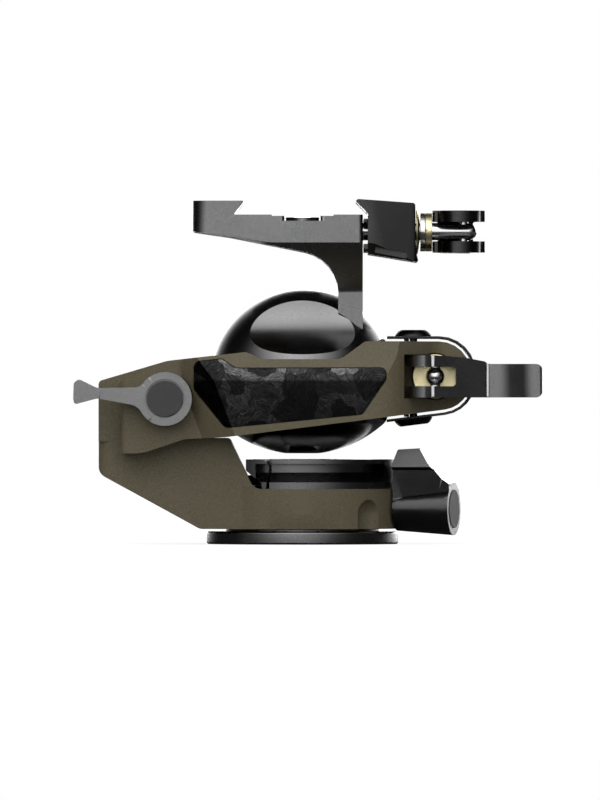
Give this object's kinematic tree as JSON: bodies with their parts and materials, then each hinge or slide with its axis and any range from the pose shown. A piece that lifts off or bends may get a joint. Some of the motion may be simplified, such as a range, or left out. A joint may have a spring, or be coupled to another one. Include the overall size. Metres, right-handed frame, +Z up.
{
  "type": "ball head",
  "caption": "Tripod ball head: a split clamping ring on a C-shaped body holds a large ball with an offset dovetail clamp; cam levers, a friction lever and a panning base with its own lock.",
  "frame": {"origin": "centre of the tripod thread's mouth, in the underside of the base disc", "axes": "+Z up along the pan axis, +X towards the tongue and the clamp's lever, -Y towards the side with the ring's cam lever and the friction lever"},
  "size_m": [0.1413, 0.072, 0.1042],
  "materials": {
    "olive_coat": "fine matte powder coat",
    "black_anodised": "black anodised, satin",
    "ball_black": "black anodised, smooth",
    "forged_carbon": "chopped carbon in resin, marbled",
    "steel": "bright",
    "brass": "bright",
    "grey_metal": "grey anodised",
    "bushing": "acetal",
    "liner_plastic": "acetal",
    "level_fluid": "clear dome on green fluid"
  },
  "bodies": {
    "base": {"base_disc": "black_anodised", "base_screws": "steel", "pan_spindle": "steel", "lower_thrust_washer": "black_anodised", "spindle_nut": "steel"},
    "frame": {"base_arm": "olive_coat", "rear_column": "olive_coat", "socket_ring": "olive_coat", "near_inlay": "forged_carbon", "far_inlay": "forged_carbon", "pan_housing": "black_anodised", "housing_screws": "steel", "pan_bushing": "bushing", "upper_thrust_washer": "black_anodised", "brake_shoe": "brass", "liner_retainer": "black_anodised", "ring_stud": "steel", "ring_stud_nut": "steel", "ring_dish_washer": "brass", "ring_cam_washer": "brass", "ring_lever_pin": "steel", "drag_nut": "black_anodised", "drag_washer": "steel", "split_strap": "black_anodised", "strap_screws": "black_anodised", "strap_spacers": "steel"},
    "pan_lock": {"pan_lock_screw": "steel", "pan_lock_lever": "black_anodised", "pan_lock_cap": "grey_metal"},
    "drag": {"drag_lever": "grey_metal", "drag_bolt": "steel", "drag_cap": "black_anodised"},
    "ring_lock": {"ring_lever": "black_anodised"},
    "liner": {"socket_liner": "liner_plastic"},
    "bolt": {"ball_bolt": "steel"},
    "ball_and_clamp": {"ball": "ball_black", "ball_cap": "ball_black", "clamp_neck": "black_anodised", "neck_screws": "steel", "bubble_ring": "grey_metal", "bubble_level": "level_fluid", "guide_pins": "steel", "jaw_springs": "steel", "clamp_stud": "steel", "clamp_lever_pin": "steel"},
    "jaw": {"moving_jaw": "black_anodised", "jaw_dish_washer": "brass", "jaw_steel_washer": "steel", "jaw_cam_washer": "brass"},
    "clamp_lock": {"clamp_lever": "black_anodised"}
  },
  "joints": [
    {"name": "pan", "type": "hinge", "parent": "base", "child": "frame", "pos_m": [0, 0, 0.0107], "axis": [0, 0, 1], "continuous": true},
    {"name": "pan_lock_turn", "type": "hinge", "parent": "frame", "child": "pan_lock", "pos_m": [0, 0, 0.0107], "axis": [0.9659, -0.2588, 0], "range_deg": [0, 80]},
    {"name": "drag_turn", "type": "hinge", "parent": "frame", "child": "drag", "pos_m": [-0.04145, 0, 0.0439], "axis": [0, 1, 0], "range_deg": [-35, 35]},
    {"name": "ring_lever_turn", "type": "hinge", "parent": "frame", "child": "ring_lock", "pos_m": [0.04, -0.0272, 0.0507], "axis": [0, 0, -1], "range_deg": [0, 100]},
    {"name": "ball_turn", "type": "hinge", "parent": "frame", "child": "liner", "pos_m": [0, 0, 0.0493], "axis": [0, 0, 1], "continuous": true},
    {"name": "ball_tilt", "type": "hinge", "parent": "liner", "child": "bolt", "pos_m": [0, 0, 0.0493], "axis": [0, 1, 0], "range_deg": [-30, 17]},
    {"name": "ball_spin", "type": "hinge", "parent": "bolt", "child": "ball_and_clamp", "pos_m": [0, 0, 0.0493], "axis": [0, 0, 1], "range_deg": [-75, 75]},
    {"name": "clamp_lever_turn", "type": "hinge", "parent": "ball_and_clamp", "child": "clamp_lock", "pos_m": [0.0487, 0, 0.0946], "axis": [0, 0, -1], "range_deg": [0, 100]},
    {"name": "jaw_slide", "type": "slide", "parent": "ball_and_clamp", "child": "jaw", "axis": [1, 0, 0], "range_m": [0, 0.00065]}
  ],
  "couplings": [
    {"joint": "clamp_lever_turn", "follows": "jaw_slide", "rad_per_m": 2684}
  ]
}
